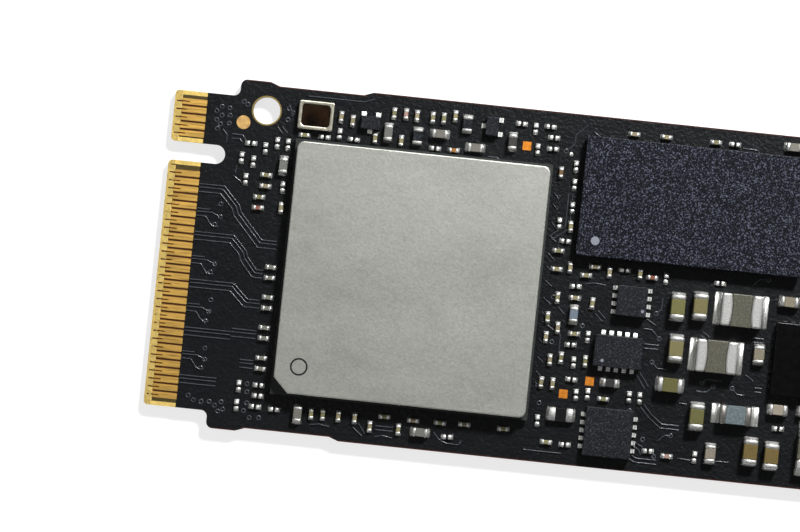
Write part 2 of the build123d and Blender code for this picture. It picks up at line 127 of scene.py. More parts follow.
def add(tree, kind, inputs=None, stops=(), **settings):
    """One node with its settings, its kind without the prefix of the tree's own nodes.

    An input is a value, a socket or the node that it is linked from.
    """
    family = "ShaderNode" if tree.type == "SHADER" else "GeometryNode"
    made = tree.nodes.new(kind if "Node" in kind else family + kind)
    for key, value in settings.items():
        setattr(made, key, value)
    for key, value in (inputs or {}).items():
        if isinstance(value, bpy.types.Node):
            value = result_of(value)
        if isinstance(value, bpy.types.NodeSocket):
            tree.links.new(value, made.inputs[key])
        else:
            made.inputs[key].default_value = value
    if stops:
        elements = made.color_ramp.elements
        while len(elements) < len(stops):
            elements.new(0.5)
        for element, (position, colour) in zip(elements, stops):
            element.position = position
            element.color = colour
    return made


def colour_property(name, description, code):
    """A colour that a user may change."""
    return bpy.props.FloatVectorProperty(
        name=name, description=description, default=linear(code)[:3], size=3, min=0, max=1,
        subtype="COLOR",
    )


def length_property(name, description, millimetres):
    """A length that a user may change."""
    return bpy.props.FloatProperty(
        name=name, description=description, default=millimetres * MM, min=0, unit="LENGTH",
        precision=5,
    )


class DriveColours(bpy.types.PropertyGroup):
    """Colours of the drive's finishes."""

    mask: colour_property("Solder mask", "Black lacquer on the board", "#07090c")
    # Paler than the mask: partly real thin mask over copper, partly a painted highlight along the
    # traces
    trace: colour_property("Trace", "Mask over the traces' edges", "#353a3f")
    laminate: colour_property("Laminate", "Bare glass laminate round the card edge", "#dcbe6b")
    resin: colour_property("Resin", "Dark resin between the contacts", "#3a1804")
    gold: colour_property("Gold", "Plated card-edge contacts", "#f3c56a")
    copper: colour_property("Copper", "Bare test pads", "#e6943a")
    nickel: colour_property("Nickel", "Controller lid", "#c4c5be")
    mould: colour_property("Mould", "Moulded chip bodies", "#15171a")
    memory: colour_property("Memory mould", "Blue-black speckled memory package", "#070910")
    tin: colour_property("Tin", "Tinned terminals and leads", "#d6d6d3")
    ferrite: colour_property("Ferrite", "Inductor cores", "#504f43")
    floor: colour_property("Floor", "Studio floor", "#ffffff")


class DriveSizes(bpy.types.PropertyGroup):
    """Sizes of the drive's fine details."""

    chip_bevel: length_property("Chip bevel", "Rounding of small chips' edges", 0.03)
    package_bevel: length_property("Package bevel", "Rounding of moulded packages' edges", 0.05)
    trace_width: length_property("Trace width", "Width of a trace under the mask", 0.15)
    trace_height: length_property("Trace height", "Height of a trace under the mask", 0.042)
    via_radius: length_property("Via radius", "Outer radius of a via's ring", 0.17)
    camera_height: length_property("Camera height", "Height of the camera over the board", 279.7)


def shaded(colour, amount):
    """A colour made darker or lighter."""
    return [min(1.0, part * amount) for part in colour[:3]] + [1.0]


def begin(name, colour, metallic, roughness, specular=0.5):
    """A new material, its node tree, and the place in millimetres for its patterns."""
    material = bpy.data.materials.new(name)
    material.use_nodes = True
    tree = material.node_tree
    for key, value in (
        ("Base Color", (*colour[:3], 1)), ("Metallic", metallic), ("Roughness", roughness),
        ("Specular IOR Level", specular),
    ):
        tree.nodes["Principled BSDF"].inputs[key].default_value = value
    metres = add(tree, "TexCoord").outputs["Object"]
    place = add(tree, "VectorMath", {0: metres, "Scale": 1 / MM}, operation="SCALE")
    return material, tree, place


def mottled(tree, place, size, colour, tones, detail=3.0, roughness=0.6):
    """Noise of a real size in millimetres, and the tones of a colour that it runs through."""
    noise = add(tree, "TexNoise", {
        "Vector": place, "Scale": 1 / size, "Detail": detail, "Roughness": roughness,
    })
    stops = [(position, shaded(colour, amount)) for position, amount in tones]
    return noise, add(tree, "ValToRGB", {"Fac": noise}, stops)


def surface(material, tone, grain, rough, relief):
    """Links a colour, a roughness between two values and a relief in millimetres to the shader."""
    tree = material.node_tree
    uneven = add(tree, "MapRange", {"Value": grain, "To Min": rough[0], "To Max": rough[1]})
    height = add(tree, "Bump", {"Height": grain, "Distance": relief * MM, "Strength": 1.0})
    shader = tree.nodes["Principled BSDF"]
    for key, node in (("Base Color", tone), ("Roughness", uneven), ("Normal", height)):
        tree.links.new(result_of(node), shader.inputs[key])
    return material


def grained(name, colour, metallic, size, tones, rough, relief, specular=0.5):
    """A material whose colour, roughness and relief follow one grain of a real size."""
    material, tree, place = begin(name, colour, metallic, sum(rough) / 2, specular)
    grain, tone = mottled(tree, place, size, colour, tones)
    return surface(material, tone, grain, rough, relief)


def solder_mask(colours):
    """Black solder mask over glass laminate: satin lacquer, faint orange peel, brown bare edges."""
    material, tree, place = begin("solder_mask_on_laminate", colours.mask, 0, 0.38, 0.42)
    # The lacquer's pools are about 2 mm across
    _, lacquer = mottled(tree, place, 2.2, colours.mask, [(0.3, 0.7), (0.7, 1.4)], 4.0)
    # Bare card edge: beige laminate and dark resin in one fine grain
    grain, weave = mottled(tree, place, 0.35, colours.laminate, [(0.3, 0.8), (0.7, 1.12)])
    resin = add(tree, "ValToRGB", {"Fac": grain}, [
        (0.3, shaded(colours.resin, 0.7)), (0.75, shaded(colours.resin, 1.6)),
    ])
    axes = add(tree, "SeparateXYZ", {"Vector": place}).outputs
    normal = add(tree, "NewGeometry").outputs["Normal"]
    hole = [part / MM for part in spot(*HOLE_SPOT)]
    measures = {
        "x": axes["X"], "across": axes["Y"], "up": axes["Z"], "grain": grain,
        "facing": add(tree, "SeparateXYZ", {"Vector": normal}).outputs["Z"],
        "from_hole": add(tree, "VectorMath", {0: place, 1: hole}, operation="DISTANCE"),
    }
    # Where each colour lies; a row's terms are numbers or the names of measures before it
    for name, operation, *terms in (
        ("along", "ADD", "x", -EDGE_X / MM),
        ("from_middle", "ABSOLUTE", "across"),
        ("masked", "GREATER_THAN", "along", TONGUE_LENGTH),
        ("strip", "LESS_THAN", "along", STRIP_LENGTH),
        ("rim", "GREATER_THAN", "from_middle", RIM_FROM),
        ("key", "COMPARE", "across", KEY_ACROSS, KEY_ROOM),
        ("outer", "MAXIMUM", "rim", "key"),
        ("border", "MAXIMUM", "strip", "outer"),
        ("shifted", "ADD", "across", GAP_SHIFT),
        ("from_gap", "PINGPONG", "shifted", CONTACT_PITCH / 2),
        ("gap_side", "COMPARE", "from_gap", *GAP_SIDE),
        ("by_rim", "GREATER_THAN", "from_middle", RIM_STRIPE_FROM),
        ("by_key", "COMPARE", "across", KEY_ACROSS, KEY_STRIPE_ROOM),
        ("stripe", "MAXIMUM", "by_rim", "by_key"),
        ("middle", "GREATER_THAN", "from_gap", STUB_FROM_GAP),
        ("inset", "GREATER_THAN", "along", STUB_INSET),
        ("patch", "GREATER_THAN", "grain", STUB_PATCH),
        ("ahead", "GREATER_THAN", "strip", "outer"),
        ("whole", "MULTIPLY", "middle", "inset"),
        ("patchy", "MULTIPLY", "whole", "patch"),
        ("stub", "MULTIPLY", "patchy", "ahead"),
        ("ring", "LESS_THAN", "from_hole", HOLE_RING),
        ("recess", "COMPARE", "along", RECESS_MIDDLE, RECESS_HALF),
        ("limit", "MULTIPLY_ADD", "recess", -RECESS_DEPTH, BOARD_HIGH.y / MM - MASK_MARGIN),
        ("line", "GREATER_THAN", "from_middle", "limit"),
        ("layers", "PINGPONG", "up", LAYER_PITCH),
        ("side", "COMPARE", "facing", 0.0, SIDE_SLOPE),
    ):
        values = [measures[term] if isinstance(term, str) else term for term in terms]
        measures[name] = add(tree, "Math", dict(enumerate(values)), operation=operation)
    # Sawn sides: reddish resin with thin darker layers
    sawn = add(tree, "ValToRGB", {"Fac": measures["layers"]}, [
        (0.02, linear("#2a1410")), (0.06, linear("#46241c")),
    ])
    # From the resin line between the contacts, with gold darkened at its sides as painted shade, a
    # bare stripe by the first and last of them, the border and its plating stubs, to the mask and
    # the sawn sides
    tone = resin
    for share, colour in (
        ("gap_side", shaded(colours.gold, 0.3)), ("stripe", shaded(colours.laminate, 0.09)),
        ("border", weave), ("stub", shaded(colours.resin, 2.2)), ("masked", lacquer),
        ("ring", shaded(colours.laminate, 0.3)), ("line", linear("#3c1a14")), ("side", sawn),
    ):
        tone = add(tree, "Mix", {0: measures[share], 6: tone, 7: colour}, data_type="RGBA")
    # Orange peel about 0.2 mm across
    peel = add(tree, "TexNoise", {
        "Vector": place, "Scale": 1 / 0.22, "Detail": 3.0, "Roughness": 0.6,
    })
    return surface(material, tone, peel, (0.28, 0.42), 0.042)


def thin_mask(colours):
    """Solder mask drawn thin over copper edges: glossier, so the side towards the light glints."""
    # The paler colour is partly real thin mask and partly a painted highlight along the traces and
    # vias
    tones = [(0.3, 0.6), (0.7, 1.3)]
    return grained(
        "solder_mask_over_copper", colours.trace, 0, 0.3, tones, (0.24, 0.36), 0.008, 0.8,
    )


def contact_gold(colours):
    """Hard gold over nickel: warm, satin, with wipe streaks along each contact and worn tips."""
    material, tree, place = begin("hard_gold_plate", colours.gold, 1, 0.5)
    # Wipe streaks are about 2 mm long and 0.1 mm wide
    stretched = add(tree, "Mapping", {"Vector": place, "Scale": (0.55, 9.0, 1.0)})
    tones = [(0.28, 0.42), (0.45, 0.86), (0.7, 1.12)]
    streaks, plate = mottled(tree, stretched, 1.0, colours.gold, tones, 4.0, 0.65)
    axes = add(tree, "SeparateXYZ", {"Vector": place}).outputs
    along = add(tree, "Math", {0: axes["X"], 1: -EDGE_X / MM}, operation="ADD")
    shifted = add(tree, "Math", {0: axes["Y"], 1: GAP_SHIFT}, operation="ADD")
    from_gap = add(tree, "Math", {0: shifted, 1: CONTACT_PITCH / 2}, operation="PINGPONG")
    middle = add(tree, "Math", {0: from_gap, 1: SCAR_FROM_GAP}, operation="GREATER_THAN")
    # Worn tips reach about 0.9 mm, more where the streaks are pale
    reach = add(tree, "Math", {0: streaks, 1: 0.9, 2: 0.45}, operation="MULTIPLY_ADD")
    tip = add(tree, "Math", {0: along, 1: reach}, operation="LESS_THAN")
    scar = add(tree, "Math", {0: middle, 1: tip}, operation="MULTIPLY")
    tone = add(tree, "Mix", {0: scar, 6: plate, 7: shaded(colours.resin, 2.5)}, data_type="RGBA")
    return surface(material, tone, streaks, (0.44, 0.6), 0.008)


def bare_copper(colours):
    """Copper under a thin organic preservative: orange, slightly uneven."""
    return grained(
        "preserved_copper", colours.copper, 1, 0.25, [(0.3, 0.75), (0.7, 1.1)], (0.48, 0.62), 0.008,
    )


def tinned(colours, name, bright, rough, relief):
    """Matte tin or solder: bright grey metal whose frozen grain breaks up its highlights."""
    # bright scales the tin's colour, so its copies are painted lighter or darker as painted light
    # and shade
    tones = [(0.25, 0.62 * bright), (0.6, bright), (0.8, 1.15 * bright)]
    return grained(name, colours.tin, 1, 0.09, tones, rough, relief)


def pressed_ferrite(name, colour):
    """Pressed iron powder: grey, grainy, with dark pores."""
    return grained(
        name, colour, 0, 0.12, [(0.3, 0.55), (0.55, 1.0), (0.75, 1.5)], (0.4, 0.6), 0.015,
    )


def clouded(name, code, metallic, roughness, size, specular=0.5):
    """A small or hidden piece's finish: its colour, clouded at one scale."""
    rough = (roughness - 0.08, roughness + 0.08)
    tones = [(0.3, 0.75), (0.7, 1.2)]
    return grained(name, linear(code), metallic, size, tones, rough, 0.008, specular)


def lid_nickel(colours):
    """Nickel-plated copper lid: satin blasted face with cloudy wipe marks and a pin-1 ring."""
    material, tree, place = begin("satin_nickel_plate", colours.nickel, 1, 0.42)
    # Wipe marks are about 4 mm across, drawn out along one diagonal
    turned = add(tree, "Mapping", {
        "Vector": place, "Rotation": (0, 0, radians(35)), "Scale": (0.7, 1.4, 1.0),
    })
    tones = [(0.3, 0.91), (0.5, 1.02), (0.7, 1.1)]
    _, smudged = mottled(tree, turned, 4.0, colours.nickel, tones, 5.0, 0.65)
    # Blasting grit is about 0.05 mm across; it is drawn at 0.14 mm so that it shows
    grit, fine = mottled(tree, place, 0.14, PLAIN, [(0.3, 0.88), (0.7, 1)], 2.0)
    both = {0: 1.0, 6: smudged, 7: fine}
    plate = add(tree, "Mix", both, data_type="RGBA", blend_type="MULTIPLY")
    low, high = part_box("controller_lid")
    u, v = LID_RING_SPOT
    corner = (low.x / MM + u, low.y / MM + v, high.z / MM)
    away = add(tree, "VectorMath", {0: place, 1: corner}, operation="DISTANCE")
    ring = add(tree, "Math", {0: away, 1: LID_RING_RADIUS, 2: LID_RING_HALF}, operation="COMPARE")
    tone = add(tree, "Mix", {0: ring, 6: plate, 7: linear("#3a3a38")}, data_type="RGBA")
    return surface(material, tone, grit, (0.46, 0.54), 0.006)


def moulded(name, colour, speck, marks, radius):
    """Filled epoxy moulding: matte near-black with pale filler specks, and printed pin-1 dots."""
    material, tree, place = begin(name, colour, 0, 0.5, 0.14)
    # Filler grains are under 0.04 mm; they are drawn at 0.09 mm so that they show
    grain, cover = mottled(tree, place, 0.09, PLAIN, [(0.53, 0), (0.77, 1)], 2.0)
    both = {0: cover, 6: shaded(colour, 1.0), 7: linear(speck)}
    tone = add(tree, "Mix", both, data_type="RGBA")
    for mark in marks:
        centre = [part / MM for part in mark]
        away = add(tree, "VectorMath", {0: place, 1: centre}, operation="DISTANCE")
        dot = add(tree, "Math", {0: away, 1: radius}, operation="LESS_THAN")
        tone = add(tree, "Mix", {0: dot, 6: tone, 7: linear("#7c808a")}, data_type="RGBA")
    return surface(material, tone, grain, (0.46, 0.64), 0.006)


def chip_ceramic(name, roughness):
    """Sintered ceramic or glaze, each chip in the shade that its place holds."""
    material, tree, place = begin(name, (0.2, 0.18, 0.12), 0, roughness)
    shade = add(tree, "Attribute", attribute_name="shade")
    grain, fine = mottled(tree, place, 0.08, PLAIN, [(0.3, 0.72), (0.7, 1)])
    both = {0: 1.0, 6: shade, 7: fine}
    tone = add(tree, "Mix", both, data_type="RGBA", blend_type="MULTIPLY")
    return surface(material, tone, grain, (roughness - 0.08, roughness + 0.1), 0.006)


def welded(node):
    """A CAD node's shape with the corners of its faces joined."""
    work = bmesh.new()
    work.from_mesh(NODES[node].data)
    bmesh.ops.remove_doubles(work, verts=work.verts, dist=WELD_DISTANCE)
    return work


def islands(node):
    """Lowest and highest corner of every separate solid in a CAD node."""
    work = welded(node)
    seen = set()
    boxes = []
    for start in work.verts:
        if start in seen:
            continue
        group = [start]
        seen.add(start)
        for vert in group:
            for edge in vert.link_edges:
                other = edge.other_vert(vert)
                if other not in seen:
                    seen.add(other)
                    group.append(other)
        low = Vector([min(v.co[axis] for v in group) for axis in range(3)])
        high = Vector([max(v.co[axis] for v in group) for axis in range(3)])
        boxes.append((low, high))
    work.free()
    return sorted(boxes, key=lambda box: tuple(box[0]))


def skinned(name, rows, looped=False, smooth=True):
    """Mesh over rows of points, each an outline that closes with its side on the board.

    The rows close into a ring or end in caps; a smooth skin is flat there and on the board.
    """
    verts = [point for row in rows for point in row]
    count, wide = len(rows), len(rows[0])
    spans = count if looped else count - 1
    faces = []
    for side in range(wide):
        after = (side + 1) % wide
        for row in range(spans):
            here, ahead = row * wide, (row + 1) % count * wide
            faces.append([here + side, ahead + side, ahead + after, here + after])
    if not looped:
        faces += [range(wide), range(len(verts) - wide, len(verts))]
    mesh = bpy.data.meshes.new(name)
    mesh.from_pydata(verts, [], faces)
    for face in mesh.polygons[:spans * (wide - 1) if smooth else 0]:
        face.use_smooth = True
    work = bmesh.new()
    work.from_mesh(mesh)
    bmesh.ops.recalc_face_normals(work, faces=work.faces)
    work.to_mesh(mesh)
    work.free()
    return mesh


def eased(work, name, edges, bevel, segments):
    """Mesh of a shape with rounded edges, its faces turned outwards."""
    bmesh.ops.bevel(
        work, geom=edges, offset=bevel, offset_type="OFFSET", segments=segments, profile=0.5,
        affect="EDGES", clamp_overlap=True,
    )
    bmesh.ops.recalc_face_normals(work, faces=work.faces)
    mesh = bpy.data.meshes.new(name)
    work.to_mesh(mesh)
    work.free()
    return mesh


def rounded_blocks(name, boxes, bevel):
    """Mesh of boxes with eased edges, for one prototype chip."""
    work = bmesh.new()
    for centre, size in boxes:
        made = bmesh.ops.create_cube(work, size=1.0)
        for vert in made["verts"]:
            vert.co = Vector(centre) + Vector([vert.co[i] * size[i] for i in range(3)])
    return eased(work, name, work.edges[:], bevel, 1)


# Gull-wing lead from the side, out of its body at 0 and with its foot on the board at 1
LEAD_OUTLINE = (
    (0, 0.7), (0.3, 0.62), (0.5, 0.3), (0.6, 0), (1, 0), (1, 0.3), (0.72, 0.42), (0.55, 0.85),
    (0.35, 1), (0, 1),
)
# Section of a solder joint: share of its half width and of its height
JOINT_SECTION = ((-1, 0), (-0.9, 0.8), (0, 1), (0.9, 0.8), (1, 0))
# Solder joints by station: share of the run, half width, share of the terminal's height
SMALL_JOINT = (
    (0, 0.5, 1), (0.2, 0.5, 0.66), (0.5, 0.48, 0.34), (0.82, 0.42, 0.24), (1, 0.34, 0.1),
)
LARGE_JOINT = (
    (0, 0.5, 0.8), (0.18, 0.5, 0.4), (0.42, 0.5, 0.17), (0.66, 0.5, 0.12), (0.82, 0.5, 0.2),
    (0.95, 0.49, 0.19), (1, 0.46, 0.04),
)
# Longest run of a small joint, and how far a joint may stand off its terminal, in millimetres
LARGE_RUN = 0.3
JOINT_REACH = 0.3

# Profiles of radius and height, in steps round: a via's ring, and solder that fills a via
RING_STEPS = 10
VIA_PROFILE = ((1.0, 0.0), (0.86, 0.9), (0.62, 0.9), (0.5, 0.0))
DOT_PROFILE = ((1.0, 0.0), (0.9, 0.6), (0.5, 1.0), (0.1, 0.95), (0.1, 0.0))


def lead_shape():
    """Unit gull-wing lead."""
    rows = [[(x, side, z) for x, z in LEAD_OUTLINE] for side in (-0.5, 0.5)]
    return skinned("lead", rows, smooth=False)


def solder_shape(stations):
    """Unit solder joint: tall against its terminal at x = 0, drawn out to a low lip at x = 1."""
    return skinned("solder", [
        [(x, s * half, z * tall) for s, z in JOINT_SECTION] for x, half, tall in stations
    ])


def ring_shape(name, profile):
    """Unit ring turned from a profile, whose last side lies on the board."""
    ways = [heading(tau * step / RING_STEPS) for step in range(RING_STEPS)]
    rows = [[(radius * way.x, radius * way.y, z) for radius, z in profile] for way in ways]
    return skinned(name, rows, looped=True)


def node_group(name, inputs):
    """A geometry node tree with named inputs and one output, and the sockets of its inputs."""
    tree = bpy.data.node_groups.new(name, "GeometryNodeTree")
    for key, kind in inputs:
        tree.interface.new_socket(key, in_out="INPUT", socket_type=f"NodeSocket{kind}")
    tree.interface.new_socket("Pieces", in_out="OUTPUT", socket_type="NodeSocketGeometry")
    return tree, add(tree, "NodeGroupInput").outputs


def end_group(tree, shapes, finish):
    """Ends a geometry node tree with real pieces in their finish."""
    real = add(tree, "RealizeInstances", {"Geometry": shapes})
    painted = add(tree, "SetMaterial", {"Geometry": real, "Material": finish})
    add(tree, "NodeGroupOutput", {"Pieces": painted})
    return tree


def placing_tree():
    """Geometry nodes that set one shape on every place, turned and sized by its attributes."""
    tree = bpy.data.node_groups.get("set_on_places")
    if tree:
        return tree
    tree, given = node_group("set_on_places", (
        ("Places", "Geometry"), ("Shape", "Object"), ("Finish", "Material"),
    ))
    shape = add(tree, "ObjectInfo", {"Object": given["Shape"]})
    turn = add(tree, "InputNamedAttribute", {"Name": "turn"}, data_type="FLOAT_VECTOR")
    size = add(tree, "InputNamedAttribute", {"Name": "size"}, data_type="FLOAT_VECTOR")
    put = add(tree, "InstanceOnPoints", {
        "Points": given["Places"], "Instance": shape.outputs["Geometry"], "Rotation": turn,
        "Scale": size,
    })
    return end_group(tree, put, given["Finish"])


def tracing_tree():
    """Geometry nodes that lay a raised round-backed line, half sunk, along every path."""
    tree, given = node_group("lay_traces", (
        ("Paths", "Geometry"), ("Width", "Float"), ("Height", "Float"), ("Corner radius", "Float"),
        ("Finish", "Material"),
    ))
    path = add(tree, "MeshToCurve", {"Mesh": given["Paths"]})
    bent = add(tree, "FilletCurve", {
        "Curve": path, "Radius": given["Corner radius"], "Limit Radius": True, "Count": 3,
    }, mode="POLY")
    level = add(tree, "SetCurveNormal", {"Curve": bent}, mode="Z_UP")
    tall = add(tree, "ShaderNodeMath", {0: given["Height"], 1: 2.0}, operation="MULTIPLY")
    squash = add(tree, "ShaderNodeCombineXYZ", {"X": tall, "Y": given["Width"], "Z": 1.0})
    circle = add(tree, "CurvePrimitiveCircle", {"Resolution": 10, "Radius": 0.5})
    section = add(tree, "Transform", {"Geometry": circle, "Scale": squash})
    swept = add(tree, "CurveToMesh", {"Curve": level, "Profile Curve": section, "Fill Caps": True})
    return end_group(tree, swept, given["Finish"])


def linked(name, data):
    """A new object in the scene."""
    made = bpy.data.objects.new(name, data)
    bpy.context.scene.collection.objects.link(made)
    return made


def grown(name, mesh, tree, **values):
    """A plain mesh object from geometry nodes on a mesh, with named inputs."""
    piece = linked(name, mesh)
    modifier = piece.modifiers.new(name, "NODES")
    modifier.node_group = tree
    for socket in tree.interface.items_tree:
        key = socket.name.replace(" ", "_")
        if socket.in_out == "INPUT" and key in values:
            modifier[socket.identifier] = values[key]
    graph = bpy.context.evaluated_depsgraph_get()
    made = bpy.data.meshes.new_from_object(
        piece.evaluated_get(graph), preserve_all_data_layers=True, depsgraph=graph,
    )
    piece.modifiers.clear()
    piece.data = made
    made.name = name
    if not len(made.polygons):
        raise RuntimeError(f"{name} came out empty")
    return piece


def placed(name, shape, places, finish):
    """Copies of a shape on places: (point, turn about Z, size, shade) each."""
    points, turns, sizes, shades = zip(*places)
    mesh = bpy.data.meshes.new(name)
    mesh.from_pydata(points, [], [])
    for key, kind, rows in (
        ("turn", "vector", [(0, 0, turn) for turn in turns]), ("size", "vector", sizes),
        ("shade", "color", shades),
    ):
        layer = mesh.attributes.new(key, f"FLOAT_{kind.upper()}", "POINT")
        layer.data.foreach_set(kind, [part for row in rows for part in row])
    pattern = linked(f"{name}_pattern", shape)
    piece = grown(name, mesh, placing_tree(), Shape=pattern, Finish=finish)
    bpy.data.objects.remove(pattern)
    return piece


def attach(piece, slot, *nodes):
    """The piece rides on the board and stands for its CAD nodes, which are hidden; its slot is not
    used.
    """
    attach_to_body(piece, "root")
    if nodes:
        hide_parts(*nodes)


def softened(name, node, bevel, segments, finish, slot):
    """A copy of a CAD node with rounded edges, in place of the node."""
    work = welded(node)
    bmesh.ops.dissolve_limit(work, angle_limit=FLAT_ANGLE, verts=work.verts, edges=work.edges)
    sharp = [e for e in work.edges if e.is_manifold and e.calc_face_angle(0) > SHARP_ANGLE]
    mesh = eased(work, name, sharp, bevel, segments)
    mesh.materials.append(finish)
    attach(linked(name, mesh), slot, node)


def paint(finish, *nodes):
    """CAD nodes keep their shape and take a finish."""
    for node in nodes:
        mesh = NODES[node].data
        mesh.materials.clear()
        mesh.materials.append(finish)


def spot_under(centre):
    """The board's top under a point."""
    return Vector((centre.x, centre.y, BOARD_TOP))


def heading(turn):
    """Unit vector along a turn about Z."""
    return Vector((cos(turn), sin(turn), 0))


def spread(size, turn):
    """A box's length along a turn and its width across it."""
    if abs(cos(turn)) > 0.5:
        return size.x, size.y
    return size.y, size.x


def kin(node, part):
    """Name of the CAD node that goes with another, such as a body's terminals."""
    return f"{node.rsplit('_', 1)[0]}_{part}"


# Families of two-terminal chips: bodies, slot, rounding of terminals in millimetres, shades
CHIP_FAMILIES = (
    (
        "tiny_capacitor_bodies", "capacitor_ceramic", 0.06,
        ("#8a8163", "#7d7a55", "#8f8468", "#86805e"),
    ),
    ("tiny_resistor_bodies", "resistor_glaze", 0.06, ("#0d0d0f", "#121214")),
    ("small_capacitor_bodies", "capacitor_ceramic", 0.08, ("#6f6f6a", "#77756c")),
    ("medium_capacitor_bodies", "capacitor_ceramic", 0.09, ("#8d8576", "#857d6b")),
    ("large_capacitor_bodies", "capacitor_ceramic", 0.1, ("#746d45", "#68663a", "#706a46")),
    ("wide_resistor_body", "resistor_glaze", 0.08, ("#101012",)),
    ("diode_bodies", "mould", 0.07, ("#17181a",)),
    ("choke_body", "choke_ferrite", 0.1, ("#6b7679",)),
)
# Chips that differ: along, across, shade; then the row of capacitors before the controller
ODD_SHADES = (
    (38.15, -8.95, "#6a5a30"), (39.5, -9.1, "#6a5a30"), (5.9, 3.07, "#8a5a4c"),
    (17.73, 7.9, "#9a6a34"), (24.6, 7.2, "#6e5233"), (30.97, 1.24, "#7a4a38"),
    (33.0, -9.8, "#a3857a"), (14.53, 9.85, "#a3857a"), (26.28, -1.55, "#6a7684"),
    (28.97, -5.6, "#2a2a2c"), (21.35, 8.8, "#3a3836"), (32.75, -5.3, "#5f5d33"),
)
ODD_REACH = 0.3
ROW_ALONG = 7.09
ROW_REACH = 0.1
ROW_SHADE = "#76766c"
# A family's shades vary by chip, from the first of these shares over the range of the second
DARKEST_SHADE = 0.85
SHADE_RANGE = 0.3
# How far a chip sits off its pads in millimetres and radians, and a terminal's lap on its body
CHIP_SLIP = 0.015
CHIP_ASKEW = radians(0.8)
TINY_ASKEW = radians(2.4)
CAPACITOR_LAP = 0.02
RESISTOR_LAP = 0.1


def shade_of(node, shades, centre, index):
    """Shade of one chip's body."""
    for u, v, code in ODD_SHADES:
        if (spot(u, v) - centre).xy.length < ODD_REACH * MM:
            return linear(code)
    in_row = abs(centre.x - spot(ROW_ALONG, 0).x) < ROW_REACH * MM
    if "capacitor" in node and in_row and centre.y < 0:
        return linear(ROW_SHADE)
    tone = linear(shades[index % len(shades)])
    return shaded(tone, DARKEST_SHADE + SHADE_RANGE * next_random())


class DRIVE_OT_board(bpy.types.Operator):
    """Finishes the board, its contacts, pads, balls and the controller's hidden layers."""

    bl_idname = "drive.board"
    bl_label = "Board and Contacts"

    def execute(self, context):
        colours = context.scene.drive_colours
        paint(solder_mask(colours), "circuit_board")
        paint(
            contact_gold(colours), "edge_contacts_top", "edge_contacts_bottom", "ground_pad_top",
            "ground_pad_bottom",
        )
        paint(clouded("immersion_gold", "#ffc681", 1, 0.5, 0.4), "fiducial_mark")
        paint(bare_copper(colours), "test_pads")
        paint(
            tinned(colours, "reflowed_solder_balls", 1.0, (0.3, 0.5), 0.012),
            "controller_solder_balls", "memory_solder_balls", "flash_1_solder_balls",
            "flash_2_solder_balls",
        )
        paint(clouded("resin_substrate", "#1d2220", 0, 0.5, 0.3), "controller_substrate")
        paint(clouded("polished_silicon", "#4a4d55", 1, 0.25, 1.5), "controller_die")
        paint(clouded("thermal_paste", "#9a9a98", 0, 0.6, 0.5), "controller_thermal_paste")
        return {"FINISHED"}


# Traces that show through the mask, each a path of points along and across the board
LANES = (
    ((2.1, 3.98), (3.6, 3.98), (4.55, 2.98), (4.68, 2.58), (6.25, 0.86), (7.3, 0.86)),
    ((2.1, 0.97), (4.5, 0.97), (5.25, 0.2), (5.4, -0.2), (6.1, -1.03), (6.6, -1.03)),
    ((2.1, -2.03), (4.8, -2.03), (5.75, -2.93), (6.6, -2.93)),
    ((2.1, -5.06), (5.0, -5.06)), ((5.05, -4.85), (6.6, -4.85)),
    ((2.1, -8.07), (4.4, -8.07)), ((5.75, -6.73), (6.6, -6.73)),
)
LANE_OFFSETS = (0.21, 0.0, -0.28)
GROUND_TAILS = (
    ((2.1, 0.15), (2.9, 0.15)), ((2.1, -0.03), (3.05, -0.03), (3.45, -0.18), (3.58, -0.34)),
    ((2.1, -0.3), (2.7, -0.3), (3.0, -0.72), (3.25, -0.9), (3.55, -0.86)),
)
GROUND_TAIL_ROWS = (2.5, -0.5, -3.5, -6.5)
PAIRED_TRACES = (
    ((27.8, -1.15), (28.3, -1.62)), ((30.9, -2.93), (31.8, -2.93)), ((30.8, -4.75), (31.4, -5.55)),
    ((31.24, -6.7), (31.8, -7.3), (32.5, -7.82), (33.6, -7.82)),
    ((30.8, -9.95), (31.1, -10.12), (32.4, -10.12)), ((30.85, -9.1), (31.4, -9.35), (31.6, -9.75)),
    ((34.5, -1.8), (34.95, -2.1)), ((37.6, -1.85), (38.3, -1.85)), ((38.1, -4.95), (38.5, -4.95)),
    ((24.3, 3.2), (25.2, 3.9), (25.2, 6.0)), ((3.8, 7.5), (4.5, 7.5), (4.7, 7.2)),
)
PAIR_OFFSET = -0.26
SINGLE_TRACES = (
    ((24.4, -2.2), (25.6, -2.9), (25.6, -4.3)), ((26.8, 0.4), (27.3, 0.55), (28.1, 0.5)),
    ((25.3, -1.2), (25.7, -1.6)), ((30.9, -1.37), (31.5, -1.7)), ((33.7, -9.85), (34.5, -9.9)),
    ((36.1, -9.78), (36.9, -9.78)), ((37.4, -4.2), (37.95, -4.56)), ((33.45, -6.4), (33.9, -6.4)),
    ((35.8, 9.9), (36.8, 9.9), (36.8, 9.4)), ((26.4, 10.0), (26.8, 9.7)),
    ((19.9, 7.75), (20.5, 7.75), (20.8, 7.5), (21.4, 7.5)),
    ((8.3, 10.36), (11.9, 10.36), (12.5, 10.6)), ((4.2, 4.9), (4.7, 4.55)),
    ((4.3, 5.6), (4.25, 5.1)), ((6.9, 8.3), (7.25, 7.9)), ((6.6, 8.25), (6.95, 7.85)),
    ((7.2, 9.7), (7.5, 9.1)), ((3.2, 7.75), (3.5, 7.45), (3.5, 7.0)),
    ((14.65, -9.78), (15.75, -9.78)),
    ((14.65, -10.02), (15.75, -10.02)), ((13.2, -10.0), (13.85, -10.5)),
    ((14.65, -10.48), (15.15, -10.34), (15.75, -10.46)), ((13.55, -9.72), (14.02, -10.36)),
    ((18.3, -9.8), (18.65, -10.2), (19.2, -10.42), (19.95, -10.44), (20.1, -10.15)),
    ((10.5, -10.14), (11.1, -10.04), (11.75, -10.14)), ((24.0, -10.3), (26.4, -10.3)),
)
TRACE_CORNER = 0.16
